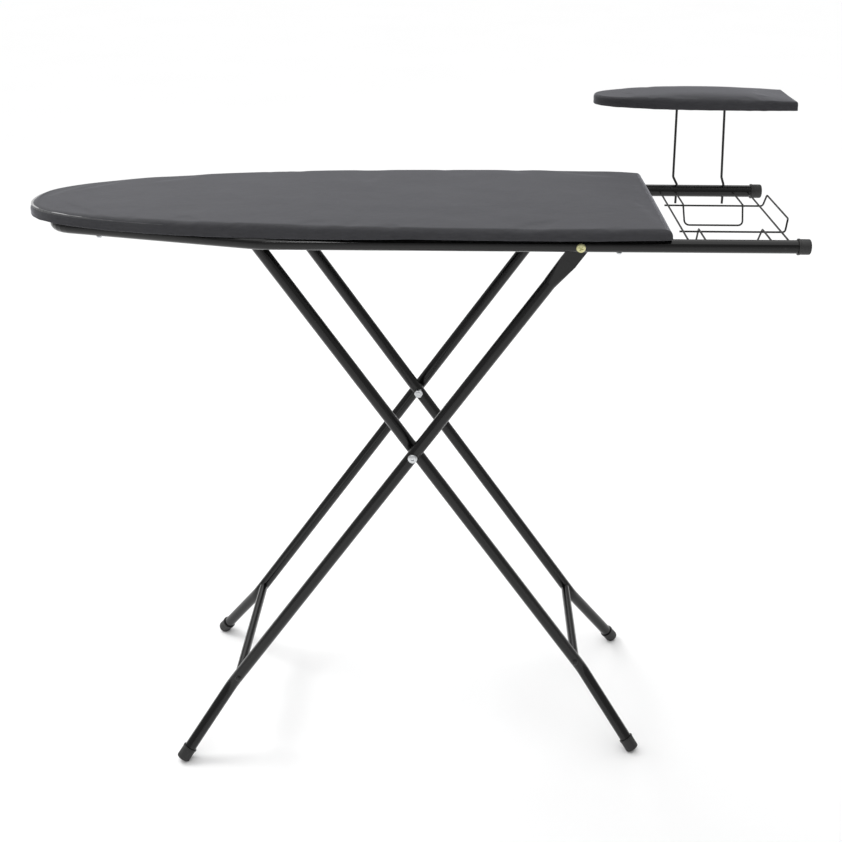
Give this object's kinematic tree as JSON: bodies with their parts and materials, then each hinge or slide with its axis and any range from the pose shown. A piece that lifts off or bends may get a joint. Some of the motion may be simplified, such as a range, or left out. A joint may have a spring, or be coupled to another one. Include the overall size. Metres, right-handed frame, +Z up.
{
  "type": "ironing board",
  "caption": "Folding ironing board with a padded bullet-shaped top on crossed tube legs, a wire iron rest and a lift-out sleeve board.",
  "frame": {"origin": "floor point at the middle of the footprint box", "axes": "+X from the nose to the iron rest, +Y to the side that carries the sleeve board, +Z up"},
  "size_m": [1.217, 0.4273, 1.085],
  "materials": {
    "cover_cloth": "matte woven",
    "foam": "open foam",
    "sheet_steel": "satin",
    "black_steel": "gloss powder coat",
    "black_wire": "semi-gloss",
    "grey_plastic": "matte",
    "black_plastic": "matte",
    "zinc": "zinc plated",
    "yellow_zinc": "yellow zinc plated"
  },
  "bodies": {
    "board": {"top_panel": "sheet_steel", "foam_pad": "foam", "board_cover": "cover_cloth", "frame_tube": "black_steel", "rail_cap_near": "grey_plastic", "rail_cap_far": "grey_plastic", "front_bearer": "black_steel", "mid_bearer": "black_steel", "rear_bearer": "black_steel", "bearer_screws": "zinc", "height_rack_near": "black_steel", "height_rack_far": "black_steel", "rest_wire_front": "black_wire", "rest_wire_rear": "black_wire", "rest_lip_wire": "black_wire", "rest_hoop_near": "black_wire", "rest_hoop_far": "black_wire", "pivot_bolts": "yellow_zinc", "pivot_nuts": "zinc"},
    "outer_legs": {"outer_leg_near": "black_steel", "outer_leg_far": "black_steel", "outer_crossbar": "black_steel", "outer_rivets": "black_wire", "outer_foot_near": "grey_plastic", "outer_foot_far": "grey_plastic", "crossing_bolts": "zinc", "crossing_spacers": "black_plastic", "crossing_nuts": "zinc"},
    "inner_legs": {"inner_leg_near": "black_steel", "inner_leg_far": "black_steel", "inner_top_bar": "black_steel", "inner_crossbar": "black_steel", "inner_rivets": "black_wire", "inner_foot_near": "grey_plastic", "inner_foot_far": "grey_plastic"},
    "release_lever": {"lever_rod": "zinc", "lever_pawl": "zinc", "lever_grip": "black_plastic"},
    "sleeve_board": {"sleeve_panel": "sheet_steel", "sleeve_pad": "foam", "sleeve_cover": "cover_cloth", "sleeve_posts": "black_wire", "sleeve_clips": "zinc", "sleeve_screws": "zinc"}
  },
  "joints": [
    {"name": "fold", "type": "hinge", "parent": "board", "child": "outer_legs", "pos_m": [0.23837, -0.0103, 0.921], "axis": [0, 1, 0], "range_deg": [0, 50]},
    {"name": "cross", "type": "hinge", "parent": "outer_legs", "child": "inner_legs", "pos_m": [-0.0115, -0.0103, 0.565], "axis": [0, 1, 0], "range_deg": [-104.5, 0]},
    {"name": "release", "type": "hinge", "parent": "board", "child": "release_lever", "pos_m": [-0.2015, -0.0103, 0.913], "axis": [0, 1, 0], "range_deg": [0, 14], "stiffness_Nm_per_rad": 0.6},
    {"name": "sleeve_lift", "type": "slide", "parent": "board", "child": "sleeve_board", "axis": [0, 0, 1], "range_m": [0, 0.06]}
  ],
  "couplings": [
    {"joint": "cross", "follows": "fold", "ratio": -2.086}
  ]
}
